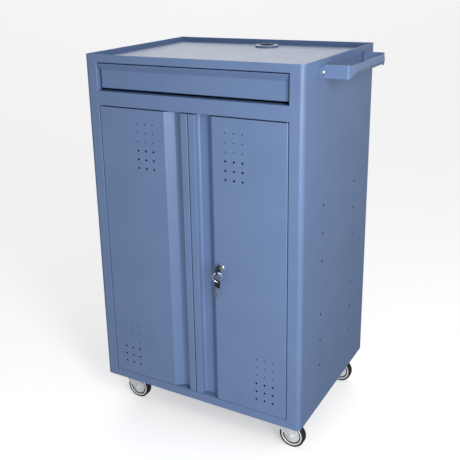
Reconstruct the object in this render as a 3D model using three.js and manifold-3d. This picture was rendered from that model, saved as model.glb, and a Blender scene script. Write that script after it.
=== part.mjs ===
// A sheet steel cabinet trolley: recessed top, one drawer, two doors, side push handle and four swivel castors.
// Millimetres, +Z up. The front faces -Y and the right side faces +X. Inside the root group, z = 0 is the
// underside of the cabinet body.
import * as THREE from 'three';
import { ConvexGeometry } from 'three/addons/geometries/ConvexGeometry.js';
import { mergeVertices } from 'three/addons/utils/BufferGeometryUtils.js';
import Module from 'manifold-3d';

const wasm = await Module();
wasm.setup();

// ---- driving dimensions ----
const HALF_W = 328;              // half the body width
const HALF_D = 255;              // half the body depth
const HEIGHT = 1000;             // body height without castors
const CASTOR_HEIGHT = 100;       // floor to underside of body
const T = 1.2;                   // sheet thickness
const GAP = 0.3;                 // gap between touching pieces
const FRONT = -HALF_D;
const BACK = HALF_D;
const SKIN = HALF_W - T;         // inner face of the side skins
const INNER = SKIN - GAP;        // outermost x of pieces between the side skins

const POST_INNER = 288.7;        // inner edge of the front posts
const POST_RETURN = 16;          // how far each post folds back
const POST_CORNER_R = 13;        // outer radius of the vertical front corners
const REAR_FLANGE = 20;
const RAIL_HALF = POST_INNER - GAP;

const TRAY_Z = 986;              // recessed top surface
const TOP_RAIL_Z = 978;          // underside of the top rail
const MID_RAIL_LOW = 860;
const MID_RAIL_HIGH = 900;
const MID_RAIL_DEPTH = 30;
const FLOOR_Z = 24.5;            // top of the bottom pan

const SHELF_HOLE_Y = [-115, 126.6];
const SHELF_HOLE_Z = [614, 534, 454, 374, 294, 214, 134];
const SHELF_HOLE_R = 3.7;
const SHELF_LEVEL = 374;         // level of the supports in use
const SHELF_Z = 380.5;           // top of the shelf
const SHELF_FRONT = -200;
const SHELF_BACK = 250;
const SHELF_HALF = 324.5;
const SHELF_LIP = 19;

const DOOR_EDGE = 1.25;          // half the gap between the doors
const DOOR_OUTER = 286.7;
const DOOR_TOP = 857.2;
const DOOR_BOTTOM = 26.7;
const DOOR_DEPTH = 19;
const CHANNEL_WALL = 22.3;       // inner wall of the grip channel
const CHANNEL_FLOOR_END = 51.2;
const CHANNEL_OUT = 73.4;        // where the slanted wall meets the flat panel
const PIVOT_X = 282.5;
const PIVOT_DEPTH = 4.5;
const PIN_R = 2.2;
const PIN_HOLE_R = 2.5;

const VENT_PITCH = 25;
const VENT_SMALL_R = 1.75;
const VENT_LARGE_R = 3.05;
const VENT_TOP_X = 111.7;
const VENT_TOP_Z = 817.7;
const VENT_LOW_X = 197.7;
const VENT_LOW_Z = 189.4;

const LOCK_X = 94;
const LOCK_Z = 443;
const PINION_R = 8.5;            // root radius
const PINION_TIP = 10.6;
const PINION_TEETH = 12;
const RACK_PITCH = 5;
const RACK_NEAR = 11;            // from the lock axis to the rack bar
const RACK_WIDTH = 8;
const ROD_FRONT = 13.5;          // depth of the rods behind the front plane
const ROD_BACK = 16.5;
const KEY_X_HALF = 1.75;
const KEY_OUT = 31;              // how far the key bow reaches in front
const RING_R = 12.75;
const RING_WIRE = 1.5;
const RING_DEPTH = -24.2;
const RING_TOP_Z = LOCK_Z - 6.9;
const RING_TURN = 25;            // degrees the ring is turned out of the door's plane
const SPARE_TURN = 65;           // degrees the spare key is turned from edge-on
const SPARE_HALF = 10;           // half the width of the spare key's bow

const GROMMET_X = 20.7;
const GROMMET_Y = 180;
const GROMMET_R = 34.5;
const GROMMET_HOLE_R = 30;

const HANDLE_T = 2;
const HANDLE_LOW = 950;
const HANDLE_HIGH = 984;
const HANDLE_REACH = 391;        // outer corners of the handle
const CREASE_OUT = 400;          // the grip is pressed outwards to a crease
const CREASE_INSET = 27;         // from each corner to the end of the crease
const HANDLE_ARM_FRONT = -125;
const HANDLE_ARM_REAR = 160;
const HANDLE_FLANGE = 41;
const HANDLE_BOLT_Z = 967;
const HANDLE_BOLT_Y = [-140, 175];
const BOLT_HOLE_R = 3.3;
const BOLT_R = 2.9;

const CASTOR_X = 268;
const CASTOR_Y = [-190, 198];
const CASTOR_TRAIL = 13;
const WHEEL_R = 37.5;
const WHEEL_Z = -CASTOR_HEIGHT + WHEEL_R;
const TYRE_HALF_W = 11.4;

// ---- colours ----
const PAINT = '#7289b0';
const ZINC = '#b9bfc9';
const STEEL = '#c9ccd1';
const CHROME = '#d9dbe0';
const BLACK = '#17181b';
const HUB_GREY = '#a9adb4';

// ---- shape helpers ----
const root = new THREE.Group();
root.name = 'cabinet';
// the handle widens the part to the right, and the key bow deepens it to the front
const SHIFT_X = -(CREASE_OUT - HALF_W) / 2;
const SHIFT_Y = KEY_OUT / 2;
root.position.set(SHIFT_X, SHIFT_Y, CASTOR_HEIGHT);

function solid(geometry) {
  let g = geometry.clone();
  g.deleteAttribute('normal');
  g.deleteAttribute('uv');
  g = mergeVertices(g, 1e-4);
  const mesh = new wasm.Mesh({
    numProp: 3,
    vertProperties: Float32Array.from(g.attributes.position.array),
    triVerts: Uint32Array.from(g.index.array),
  });
  return new wasm.Manifold(mesh);
}

function geometryOf(manifold) {
  const mesh = manifold.getMesh();
  const g = new THREE.BufferGeometry();
  g.setAttribute('position', new THREE.BufferAttribute(new Float32Array(mesh.vertProperties), 3));
  g.setIndex(new THREE.BufferAttribute(new Uint32Array(mesh.triVerts), 1));
  g.computeVertexNormals();
  return g;
}

function add(name, manifold, color, metalness, roughness, group = root) {
  const material = new THREE.MeshStandardMaterial({ color, metalness, roughness });
  const mesh = new THREE.Mesh(geometryOf(manifold), material);
  mesh.name = name;
  group.add(mesh);
}

function painted(name, manifold) {
  add(name, manifold, PAINT, 0.1, 0.4);
}

function join(...pieces) {
  return pieces.reduce((a, b) => a.add(b));
}

function cut(base, ...tools) {
  return tools.reduce((a, b) => a.subtract(b), base);
}

function box(x0, x1, y0, y1, z0, z1) {
  const g = new THREE.BoxGeometry(Math.abs(x1 - x0), Math.abs(y1 - y0), Math.abs(z1 - z0));
  g.translate((x0 + x1) / 2, (y0 + y1) / 2, (z0 + z1) / 2);
  return solid(g);
}

function rod(axis, radius, from, to, a, b, segments = 12) {
  // a and b are the two other coordinates, in X, Y, Z order
  const g = new THREE.CylinderGeometry(radius, radius, to - from, segments);
  const middle = (from + to) / 2;
  if (axis === 'x') {
    g.rotateZ(Math.PI / 2);
    g.translate(middle, a, b);
  } else if (axis === 'y') {
    g.translate(a, middle, b);
  } else {
    g.rotateX(Math.PI / 2);
    g.translate(a, b, middle);
  }
  return solid(g);
}

function shapeOf(points) {
  const shape = new THREE.Shape();
  points.forEach(([a, b], i) => (i ? shape.lineTo(a, b) : shape.moveTo(a, b)));
  shape.closePath();
  return shape;
}

// A section swept along one axis. Its two coordinates are (x, y) along z, (x, z) along y and (y, z) along x.
function extrude(points, axis, from, to) {
  const g = new THREE.ExtrudeGeometry(shapeOf(points), { depth: to - from, bevelEnabled: false });
  if (axis === 'z') {
    g.translate(0, 0, from);
  } else if (axis === 'y') {
    g.rotateX(Math.PI / 2);
    g.translate(0, to, 0);
  } else {
    const turn = new THREE.Matrix4().makeBasis(
      new THREE.Vector3(0, 1, 0), new THREE.Vector3(0, 0, 1), new THREE.Vector3(1, 0, 0));
    g.applyMatrix4(turn);
    g.translate(from, 0, 0);
  }
  return solid(g);
}

// The closed outline of bent sheet. The path is one face; the sheet lies to its left (side 1) or right (side -1).
// Each inner corner takes the bend radius given for it, measured on the path's own face.
function sheet(path, radii, side, thickness = T, steps = 3) {
  const face = [];
  const other = [];
  const unit = (p, q) => {
    const length = Math.hypot(q[0] - p[0], q[1] - p[1]);
    return [(q[0] - p[0]) / length, (q[1] - p[1]) / length];
  };
  const offset = (p, d, by) => [p[0] - d[1] * by, p[1] + d[0] * by];
  const last = path.length - 1;
  for (let i = 0; i <= last; i++) {
    if (i === 0 || i === last) {
      const d = i === 0 ? unit(path[0], path[1]) : unit(path[last - 1], path[last]);
      face.push(path[i]);
      other.push(offset(path[i], d, side * thickness));
      continue;
    }
    const d0 = unit(path[i - 1], path[i]);
    const d1 = unit(path[i], path[i + 1]);
    const turn = Math.atan2(d0[0] * d1[1] - d0[1] * d1[0], d0[0] * d1[0] + d0[1] * d1[1]);
    const radius = radii[i - 1];
    const bend = Math.sign(turn);
    const setback = radius * Math.tan(Math.abs(turn) / 2);
    const start = [path[i][0] - d0[0] * setback, path[i][1] - d0[1] * setback];
    const centre = offset(start, d0, bend * radius);
    const otherRadius = radius - bend * side * thickness;
    for (let k = 0; k <= steps; k++) {
      const angle = Math.atan2(start[1] - centre[1], start[0] - centre[0]) + (turn * k) / steps;
      face.push([centre[0] + radius * Math.cos(angle), centre[1] + radius * Math.sin(angle)]);
      other.push([centre[0] + otherRadius * Math.cos(angle), centre[1] + otherRadius * Math.sin(angle)]);
    }
  }
  return face.concat(other.reverse());
}

function mirrored(points, s) {
  return points.map(([a, b]) => [a * s, b]);
}

// A turned body about a line along one axis, from (radius, position along the axis) pairs.
function turned(profile, axis, a, b, segments) {
  const g = new THREE.LatheGeometry(profile.map(([r, h]) => new THREE.Vector2(r, h)), segments);
  if (axis === 'x') {
    g.rotateZ(-Math.PI / 2);
    g.translate(0, a, b);
  } else if (axis === 'y') {
    g.translate(a, 0, b);
  } else {
    g.rotateX(Math.PI / 2);
    g.translate(a, b, 0);
  }
  const body = solid(g);
  if (body.volume() > 0) return body;
  const index = g.index.array;
  for (let i = 0; i < index.length; i += 3) [index[i], index[i + 1]] = [index[i + 1], index[i]];
  return solid(g);
}

// ---- cabinet shell ----
function sidePanel(s) {
  const path = [
    [HALF_W - REAR_FLANGE, BACK], [HALF_W, BACK], [HALF_W, FRONT],
    [POST_INNER, FRONT], [POST_INNER, FRONT + POST_RETURN],
  ];
  const outline = mirrored(sheet(path, [2, POST_CORNER_R, 2], -1, T, 4), s);
  let panel = extrude(outline, 'z', 0, HEIGHT);
  // the post stops under the tray, so that the tray's front wall can pass
  const notch = box(s * (POST_INNER - 1), s * (POST_INNER + 3), FRONT + T + 0.1, FRONT + POST_RETURN + 2,
    TRAY_Z - T - GAP, HEIGHT + 1);
  panel = cut(panel, notch);
  for (const y of SHELF_HOLE_Y) {
    for (const z of SHELF_HOLE_Z) {
      panel = cut(panel, rod('x', SHELF_HOLE_R, s > 0 ? SKIN - 2 : -HALF_W - 2, s > 0 ? HALF_W + 2 : -SKIN + 2, y, z, 8));
    }
  }
  if (s > 0) {
    for (const y of HANDLE_BOLT_Y) {
      panel = cut(panel, rod('x', BOLT_HOLE_R, SKIN - 2, HALF_W + 2, y, HANDLE_BOLT_Z));
    }
  }
  return panel;
}
painted('side_panel_left', sidePanel(-1));
painted('side_panel_right', sidePanel(1));

const PANEL_BACK = BACK - T - GAP;
painted('back_panel', box(-INNER, INNER, PANEL_BACK - T, PANEL_BACK, 1, HEIGHT - GAP));

const TRAY_FRONT = FRONT + T + GAP;
const TRAY_BACK = PANEL_BACK - T - GAP;
function trayOutline(inset) {
  const r = POST_CORNER_R - T - GAP - inset;
  const x = INNER - inset;
  const y0 = TRAY_FRONT + inset;
  const points = [[x, TRAY_BACK - inset], [-x, TRAY_BACK - inset]];
  for (let k = 0; k <= 4; k++) {
    const a = Math.PI + (k * Math.PI) / 8;
    points.push([-x + r + r * Math.cos(a), y0 + r + r * Math.sin(a)]);
  }
  for (let k = 0; k <= 4; k++) {
    const a = 1.5 * Math.PI + (k * Math.PI) / 8;
    points.push([x - r + r * Math.cos(a), y0 + r + r * Math.sin(a)]);
  }
  return points;
}
painted('top_tray', cut(
  extrude(trayOutline(0), 'z', TRAY_Z - T, HEIGHT - GAP),
  extrude(trayOutline(T), 'z', TRAY_Z, HEIGHT + 1),
  rod('z', GROMMET_HOLE_R, TRAY_Z - 5, TRAY_Z + 5, GROMMET_X, GROMMET_Y, 24),
  rod('z', GROMMET_R + 0.8, TRAY_Z - GAP, TRAY_Z + 5, GROMMET_X, GROMMET_Y, 24),
));

const topRailPath = [[FRONT, HEIGHT], [FRONT, TOP_RAIL_Z], [FRONT + POST_RETURN, TOP_RAIL_Z]];
painted('top_rail', extrude(sheet(topRailPath, [2], 1), 'x', -RAIL_HALF, RAIL_HALF));

const midRailPath = [
  [FRONT + MID_RAIL_DEPTH, MID_RAIL_HIGH], [FRONT, MID_RAIL_HIGH],
  [FRONT, MID_RAIL_LOW], [FRONT + MID_RAIL_DEPTH, MID_RAIL_LOW],
];
const pinAt = (s, from, to, r) => rod('z', r, from, to, s * PIVOT_X, FRONT + PIVOT_DEPTH, 10);
const rodY = [FRONT + ROD_FRONT, FRONT + ROD_BACK];
const TOP_ROD_X = [LOCK_X - RACK_NEAR - RACK_WIDTH, LOCK_X - RACK_NEAR];
const LOW_ROD_X = [LOCK_X + RACK_NEAR, LOCK_X + RACK_NEAR + RACK_WIDTH];
function rodHole(xs, z0, z1, clear) {
  return box(xs[0] - clear, xs[1] + clear, rodY[0] - clear, rodY[1] + clear, z0, z1);
}
painted('mid_rail', cut(
  extrude(sheet(midRailPath, [2, 2], 1), 'x', -RAIL_HALF, RAIL_HALF),
  pinAt(1, MID_RAIL_LOW - 2, MID_RAIL_LOW + 4, PIN_HOLE_R),
  pinAt(-1, MID_RAIL_LOW - 2, MID_RAIL_LOW + 4, PIN_HOLE_R),
  rodHole(TOP_ROD_X, MID_RAIL_LOW - 2, MID_RAIL_LOW + 4, 1),
));

const PAN_BACK = TRAY_BACK;
const panPath = [[FRONT, 0], [FRONT, FLOOR_Z], [PAN_BACK, FLOOR_Z], [PAN_BACK, 0]];
const postNotch = (s) => box(s * RAIL_HALF, s * (HALF_W + 1), FRONT - 1, FRONT + POST_RETURN + GAP, -1, FLOOR_Z + 1);
painted('bottom_pan', cut(
  extrude(sheet(panPath, [2, 2], -1), 'x', -INNER, INNER),
  postNotch(1),
  postNotch(-1),
  pinAt(1, FLOOR_Z - 4, FLOOR_Z + 2, PIN_HOLE_R),
  pinAt(-1, FLOOR_Z - 4, FLOOR_Z + 2, PIN_HOLE_R),
  rodHole(LOW_ROD_X, FLOOR_Z - 4, FLOOR_Z + 2, 1),
));

const CHANNEL_HALF = 34;
const CHANNEL_HEIGHT = FLOOR_Z - T - GAP;
['front', 'rear'].forEach((end, i) => {
  const y = CASTOR_Y[i];
  const path = [
    [y - CHANNEL_HALF, CHANNEL_HEIGHT], [y - CHANNEL_HALF, 0],
    [y + CHANNEL_HALF, 0], [y + CHANNEL_HALF, CHANNEL_HEIGHT],
  ];
  painted(`cross_channel_${end}`, extrude(sheet(path, [2, 2], 1), 'x', -INNER, INNER));
});

const shelfPath = [
  [SHELF_FRONT + 12, SHELF_Z - SHELF_LIP], [SHELF_FRONT, SHELF_Z - SHELF_LIP], [SHELF_FRONT, SHELF_Z],
  [SHELF_BACK, SHELF_Z], [SHELF_BACK, SHELF_Z - SHELF_LIP], [SHELF_BACK - 12, SHELF_Z - SHELF_LIP],
];
painted('shelf', extrude(sheet(shelfPath, [2, 2, 2, 2], -1), 'x', -SHELF_HALF, SHELF_HALF));

const TAB_TOP = SHELF_Z - T - GAP;
for (const s of [-1, 1]) {
  SHELF_HOLE_Y.forEach((y, i) => {
    const name = `shelf_support_${s > 0 ? 'right' : 'left'}_${i ? 'rear' : 'front'}`;
    const pin = s > 0
      ? rod('x', SHELF_HOLE_R - GAP, INNER - T, HALF_W, y, SHELF_LEVEL, 8)
      : rod('x', SHELF_HOLE_R - GAP, -HALF_W, -INNER + T, y, SHELF_LEVEL, 8);
    const plate = box(s * (INNER - T), s * INNER, y - 7, y + 7, SHELF_LEVEL - 8, TAB_TOP);
    const tab = box(s * (INNER - 14), s * INNER, y - 7, y + 7, TAB_TOP - T, TAB_TOP);
    painted(name, join(plate, tab, pin));
  });
}

// ---- drawer ----
const LIP_TOP = 975.5;
const LIP_LOW = 956.5;
const LIP_DEPTH = 12;
const DRAWER_LOW = 907;
const LIP_HALF = 286.5;
const FACE_HALF = 282;
const DRAWER_BACK_FOLD = FRONT + 30;
const BOX_HALF = 268;
const BOX_LOW = 908;
const BOX_TOP = 965;
const BOX_BACK = 190;
const frontPath = [
  [FRONT + LIP_DEPTH + 18, DRAWER_LOW], [FRONT + LIP_DEPTH, DRAWER_LOW], [FRONT + LIP_DEPTH, LIP_LOW],
  [FRONT, LIP_TOP], [FRONT + 24, LIP_TOP],
];
const endPlate = [
  [FRONT + LIP_DEPTH + 0.6, DRAWER_LOW + 0.6], [DRAWER_BACK_FOLD, DRAWER_LOW + 0.6],
  [DRAWER_BACK_FOLD, LIP_TOP - 0.6], [FRONT + 2.5, LIP_TOP - 0.6], [FRONT + LIP_DEPTH + 0.6, LIP_LOW + 0.5],
];
const taper = (s) => extrude([
  [s * FACE_HALF, DRAWER_LOW - 2], [s * (LIP_HALF + 5), DRAWER_LOW - 2], [s * (LIP_HALF + 5), LIP_TOP - 1],
  [s * (LIP_HALF - 0.2), LIP_TOP - 1], [s * FACE_HALF, LIP_LOW],
], 'y', FRONT - 1, FRONT + 60);
painted('drawer_front', cut(
  join(
    extrude(sheet(frontPath, [2.5, 3, 2], -1), 'x', -LIP_HALF, LIP_HALF),
    extrude(endPlate, 'x', FACE_HALF - T, FACE_HALF),
    extrude(endPlate, 'x', -FACE_HALF, -FACE_HALF + T),
  ),
  taper(1),
  taper(-1),
));
const BOX_FRONT = DRAWER_BACK_FOLD + GAP;
painted('drawer_box', cut(
  box(-BOX_HALF, BOX_HALF, BOX_FRONT, BOX_BACK, BOX_LOW, BOX_TOP),
  box(-BOX_HALF + T, BOX_HALF - T, BOX_FRONT + T, BOX_BACK - T, BOX_LOW + T, BOX_TOP + 1),
));

const RUNNER_LOW = 930;
const RUNNER_HIGH = 950;
const RUNNER_IN = 275.5;
const RUNNER_OUT = 284.3;
const RUNNER_FRONT = -221;
const RUNNER_BACK = 189;
for (const s of [-1, 1]) {
  const side = s > 0 ? 'right' : 'left';
  const rail = [
    [RUNNER_IN, RUNNER_LOW + 4.5], [RUNNER_IN, RUNNER_LOW], [RUNNER_OUT, RUNNER_LOW],
    [RUNNER_OUT, RUNNER_HIGH], [RUNNER_IN, RUNNER_HIGH], [RUNNER_IN, RUNNER_HIGH - 4.5],
  ];
  add(`drawer_runner_${side}`, join(
    extrude(mirrored(sheet(rail, [1.6, 1.6, 1.6, 1.6], 1, T, 2), s), 'y', RUNNER_FRONT, RUNNER_BACK),
    box(s * (RUNNER_OUT - T / 2), s * INNER, RUNNER_FRONT, RUNNER_BACK, RUNNER_LOW + 6, RUNNER_LOW + 6 + T),
    box(s * (INNER - T), s * INNER, RUNNER_FRONT, RUNNER_BACK, RUNNER_LOW + 6, RUNNER_HIGH + 6),
  ), ZINC, 0.9, 0.4);
  const middle = (RUNNER_LOW + RUNNER_HIGH) / 2;
  add(`drawer_slide_${side}`, join(
    box(s * (BOX_HALF + GAP), s * (BOX_HALF + GAP + T), BOX_FRONT + 2, RUNNER_BACK - 2, middle - 8, middle + 8),
    box(s * (BOX_HALF + 1), s * 279, BOX_FRONT + 2, RUNNER_BACK - 2, middle - 2, middle + 2),
    box(s * 278, s * 279.5, BOX_FRONT + 2, RUNNER_BACK - 2, middle - 7.5, middle + 7.5),
  ), ZINC, 0.9, 0.4);
}

// ---- doors ----
function ventHoles(s, firstX, firstZ) {
  const holes = [];
  for (let row = 0; row < 6; row++) {
    for (let column = 0; column < 3; column++) {
      const x = s * (firstX + column * VENT_PITCH);
      const z = firstZ - row * VENT_PITCH;
      holes.push(rod('y', row < 3 ? VENT_SMALL_R : VENT_LARGE_R, FRONT - 1, FRONT + 3, x, z, row < 3 ? 6 : 8));
    }
  }
  return holes;
}

function door(s) {
  const path = [
    [DOOR_EDGE, FRONT + DOOR_DEPTH], [DOOR_EDGE, FRONT], [CHANNEL_WALL, FRONT],
    [CHANNEL_WALL, FRONT + DOOR_DEPTH], [CHANNEL_FLOOR_END, FRONT + DOOR_DEPTH], [CHANNEL_OUT, FRONT],
    [DOOR_OUTER, FRONT], [DOOR_OUTER, FRONT + DOOR_DEPTH + 1], [DOOR_OUTER - 14, FRONT + DOOR_DEPTH + 1],
  ];
  const section = mirrored(sheet(path, [2, 2, 7, 3, 4, 2.5, 2], 1), s);
  const panelPlate = mirrored([
    [CHANNEL_OUT + 0.8, FRONT + 0.6], [DOOR_OUTER - 1.6, FRONT + 0.6],
    [DOOR_OUTER - 0.6, FRONT + DOOR_DEPTH], [CHANNEL_FLOOR_END + 1.6, FRONT + DOOR_DEPTH],
  ], s);
  const stilePlate = mirrored([
    [DOOR_EDGE + 0.6, FRONT + 0.6], [CHANNEL_WALL - 0.6, FRONT + 0.6],
    [CHANNEL_WALL - 0.6, FRONT + DOOR_DEPTH - 8], [DOOR_EDGE + 0.6, FRONT + DOOR_DEPTH - 8],
  ], s);
  const ends = [[DOOR_TOP - T, DOOR_TOP], [DOOR_BOTTOM, DOOR_BOTTOM + T]];
  let leaf = extrude(section, 'z', DOOR_BOTTOM, DOOR_TOP);
  for (const [z0, z1] of ends) {
    leaf = join(leaf, extrude(panelPlate, 'z', z0, z1), extrude(stilePlate, 'z', z0, z1));
    leaf = cut(leaf, pinAt(s, z0 - 2, z1 + 2, PIN_HOLE_R));
  }
  leaf = cut(leaf, ...ventHoles(s, VENT_TOP_X, VENT_TOP_Z), ...ventHoles(s, VENT_LOW_X, VENT_LOW_Z));
  if (s > 0) {
    leaf = cut(
      leaf,
      rod('y', 8.3, FRONT - 1, FRONT + 3, LOCK_X, LOCK_Z, 20),
      rodHole(TOP_ROD_X, DOOR_TOP - 4, DOOR_TOP + 2, 0.5),
      rodHole(LOW_ROD_X, DOOR_BOTTOM - 2, DOOR_BOTTOM + 4, 0.5),
    );
  }
  return leaf;
}
painted('left_door', door(-1));
painted('right_door', door(1));

for (const s of [-1, 1]) {
  const side = s > 0 ? 'right' : 'left';
  add(`pivot_pin_${side}_top`, pinAt(s, DOOR_TOP - 9, MID_RAIL_LOW + 6, PIN_R), STEEL, 1, 0.35);
  add(`pivot_pin_${side}_bottom`, pinAt(s, FLOOR_Z - 6, DOOR_BOTTOM + 9, PIN_R), STEEL, 1, 0.35);
}

// ---- lock ----
// turned parts of the lock, from (radius, depth behind the front plane) pairs
function lockTurned(profile, segments = 20) {
  return turned(profile.map(([r, d]) => [r, FRONT + d]), 'y', LOCK_X, LOCK_Z, segments);
}
add('lock_body', lockTurned([
  [5.7, 10], [5.7, -5], [9, -5], [10, -4], [10, -0.3], [8, -0.3], [8, 10], [5.7, 10],
]), CHROME, 1, 0.15);
add('lock_nut', lockTurned([[8.3, 1.5], [12, 1.5], [12, 4.5], [8.3, 4.5], [8.3, 1.5]], 6 * 3), ZINC, 0.9, 0.4);
add('lock_plug', cut(
  lockTurned([[0, -4.6], [5.2, -4.6], [5.4, -4.4], [5.4, 12.6], [3.5, 12.6], [3.5, 17.5], [0, 17.5]]),
  box(LOCK_X - 1.3, LOCK_X + 1.3, FRONT - 6, FRONT + 9, LOCK_Z - 3.8, LOCK_Z + 3.8),
), CHROME, 1, 0.2);

let pinion = rod('y', PINION_R, FRONT + 13, FRONT + 17, LOCK_X, LOCK_Z, 24);
for (let k = 0; k < PINION_TEETH; k++) {
  const tooth = new THREE.BoxGeometry(PINION_TIP - PINION_R + 1, 4, 1.6);
  tooth.translate((PINION_TIP + PINION_R - 1) / 2, 0, 0);
  tooth.rotateY((k * 2 * Math.PI) / PINION_TEETH);
  tooth.translate(LOCK_X, FRONT + 15, LOCK_Z);
  pinion = join(pinion, solid(tooth));
}
pinion = cut(pinion, rod('y', 3.8, FRONT + 12, FRONT + 18, LOCK_X, LOCK_Z, 20));
add('lock_pinion', pinion, ZINC, 0.9, 0.4);

function rackRod(xs, z0, z1, s, firstTooth, teeth) {
  let bar = box(xs[0], xs[1], rodY[0], rodY[1], z0, z1);
  const edge = s > 0 ? xs[0] : xs[1];
  for (let k = 0; k < teeth; k++) {
    const z = firstTooth + k * RACK_PITCH;
    bar = join(bar, box(edge - s * 2, edge + s * 0.5, rodY[0], rodY[1], z - 0.9, z + 0.9));
  }
  return bar;
}
const RACK_TEETH = 6;
const firstLow = LOCK_Z - RACK_PITCH * 4.5;
add('lock_rod_top', rackRod(TOP_ROD_X, firstLow - 3, DOOR_TOP - 2.7, -1, firstLow, RACK_TEETH), ZINC, 0.9, 0.4);
const firstHigh = LOCK_Z - RACK_PITCH * 0.5;
add('lock_rod_bottom', rackRod(LOW_ROD_X, DOOR_BOTTOM + 2.8, firstHigh + 28, 1, firstHigh, RACK_TEETH), ZINC, 0.9, 0.4);

// ---- keys ----
const KEY_FRONT = FRONT - KEY_OUT;
const BOW_BACK = FRONT - 8;
add('key_blade', join(
  box(LOCK_X - 1, LOCK_X + 1, BOW_BACK - 5, FRONT + 8.5, LOCK_Z - 3.4, LOCK_Z + 3.4),
  box(LOCK_X - 1, LOCK_X + 1, BOW_BACK - 5, BOW_BACK + 2.4, LOCK_Z - 4.2, LOCK_Z + 4.2),
), STEEL, 1, 0.3);
function bowOutline(length, half, corner) {
  const points = [];
  const corners = [[length - corner, half - corner, 0], [corner, half - corner, 1],
    [corner, corner - half, 2], [length - corner, corner - half, 3]];
  for (const [a, b, quarter] of corners) {
    for (let k = 0; k <= 3; k++) {
      const angle = (quarter + k / 3) * Math.PI / 2;
      points.push([a + corner * Math.cos(angle), b + corner * Math.sin(angle)]);
    }
  }
  return points;
}
const RING_Y = FRONT + RING_DEPTH;
const bow = bowOutline(KEY_OUT - 8, 11, 4).map(([a, b]) => [KEY_FRONT + a, LOCK_Z + b]);
const HOLE_R = 4.2;
const HOLE_OFF = HOLE_R - RING_WIRE - 0.8;
add('key_bow', cut(
  extrude(bow, 'x', LOCK_X - KEY_X_HALF, LOCK_X + KEY_X_HALF),
  rod('x', HOLE_R, LOCK_X - 4, LOCK_X + 4, RING_Y, RING_TOP_Z + HOLE_OFF, 14),
  box(LOCK_X - 1.3, LOCK_X + 1.3, BOW_BACK - 5.3, BOW_BACK + 2, LOCK_Z - 4.5, LOCK_Z + 4.5),
), BLACK, 0, 0.45);

// the ring and the spare key hang turned about a vertical line through the bow's hole
function hangingGroup(degrees) {
  const group = new THREE.Group();
  group.position.set(LOCK_X, RING_Y, 0);
  group.rotation.z = THREE.MathUtils.degToRad(degrees);
  root.add(group);
  return group;
}
const ringProfile = [];
for (let k = 0; k < 6; k++) {
  const a = (k * Math.PI) / 3;
  ringProfile.push([RING_R + RING_WIRE * Math.cos(a), RING_WIRE * Math.sin(a)]);
}
ringProfile.push(ringProfile[0]);
const ring = turned(ringProfile, 'y', 0, RING_TOP_Z - RING_R, 20);
add('key_ring', ring, STEEL, 1, 0.25, hangingGroup(RING_TURN));

const SPARE_HOLE_R = 5;
const SPARE_HOLE_Z = RING_TOP_Z - 2 * RING_R - 2.4;
const SPARE_TOP = SPARE_HOLE_Z + 7.6;
const SPARE_BOW = 22;
const SPARE_BOW_LOW = SPARE_TOP - SPARE_BOW;
const SPARE_TIP = LOCK_Z - 90;
const SPARE_BLADE_HALF = 4.5;
const spareBow = bowOutline(SPARE_BOW, SPARE_HALF, 4).map(([a, b]) => [b, SPARE_TOP - a]);
const spareBlade = [
  [-SPARE_BLADE_HALF, SPARE_BOW_LOW + 5], [-SPARE_BLADE_HALF, SPARE_TIP + 18], [-2.5, SPARE_TIP + 4],
  [0, SPARE_TIP], [2.5, SPARE_TIP + 5], [SPARE_BLADE_HALF, SPARE_TIP + 20], [SPARE_BLADE_HALF, SPARE_BOW_LOW + 5],
];
const spareGroup = hangingGroup(SPARE_TURN);
add('spare_key_bow', cut(
  extrude(spareBow, 'x', -KEY_X_HALF, KEY_X_HALF),
  rod('x', SPARE_HOLE_R, -4, 4, 0, SPARE_HOLE_Z, 16),
  box(-1.3, 1.3, -SPARE_BLADE_HALF - GAP, SPARE_BLADE_HALF + GAP, SPARE_BOW_LOW - 2, SPARE_BOW_LOW + 5 + GAP),
), BLACK, 0, 0.45, spareGroup);
add('spare_key_blade', extrude(spareBlade, 'x', -1, 1), STEEL, 1, 0.3, spareGroup);

// ---- grommet ----
const GROMMET_TOP = TRAY_Z + GAP + 5;
const SEAT_Z = TRAY_Z + 2.6;
const SEAT_R = 25;
add('grommet_ring', turned([
  [SEAT_R, SEAT_Z], [SEAT_R, GROMMET_TOP - 0.8], [SEAT_R + 0.8, GROMMET_TOP], [GROMMET_R - 3, GROMMET_TOP],
  [GROMMET_R, GROMMET_TOP - 3], [GROMMET_R, TRAY_Z + GAP], [GROMMET_HOLE_R - GAP, TRAY_Z + GAP],
  [GROMMET_HOLE_R - GAP, TRAY_Z - 18], [27.5, TRAY_Z - 18], [27.5, SEAT_Z - 2], [22.5, SEAT_Z - 2],
  [22.5, SEAT_Z], [SEAT_R, SEAT_Z],
], 'z', GROMMET_X, GROMMET_Y, 24), ZINC, 0.6, 0.35);

const CAP_R = SEAT_R - GAP;
const CAP_LOW = SEAT_Z + GAP;
const CAP_TOP = CAP_LOW + 1.6;
add('grommet_cap', cut(
  rod('z', CAP_R, CAP_LOW, CAP_TOP, GROMMET_X, GROMMET_Y, 28),
  rod('z', CAP_R - 3.2, CAP_LOW - 1, CAP_TOP + 1, GROMMET_X, GROMMET_Y, 28)
    .intersect(box(GROMMET_X - 30, GROMMET_X + 2, GROMMET_Y - 30, GROMMET_Y + 30, CAP_LOW - 2, CAP_TOP + 2)),
), ZINC, 0.6, 0.4);

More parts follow.
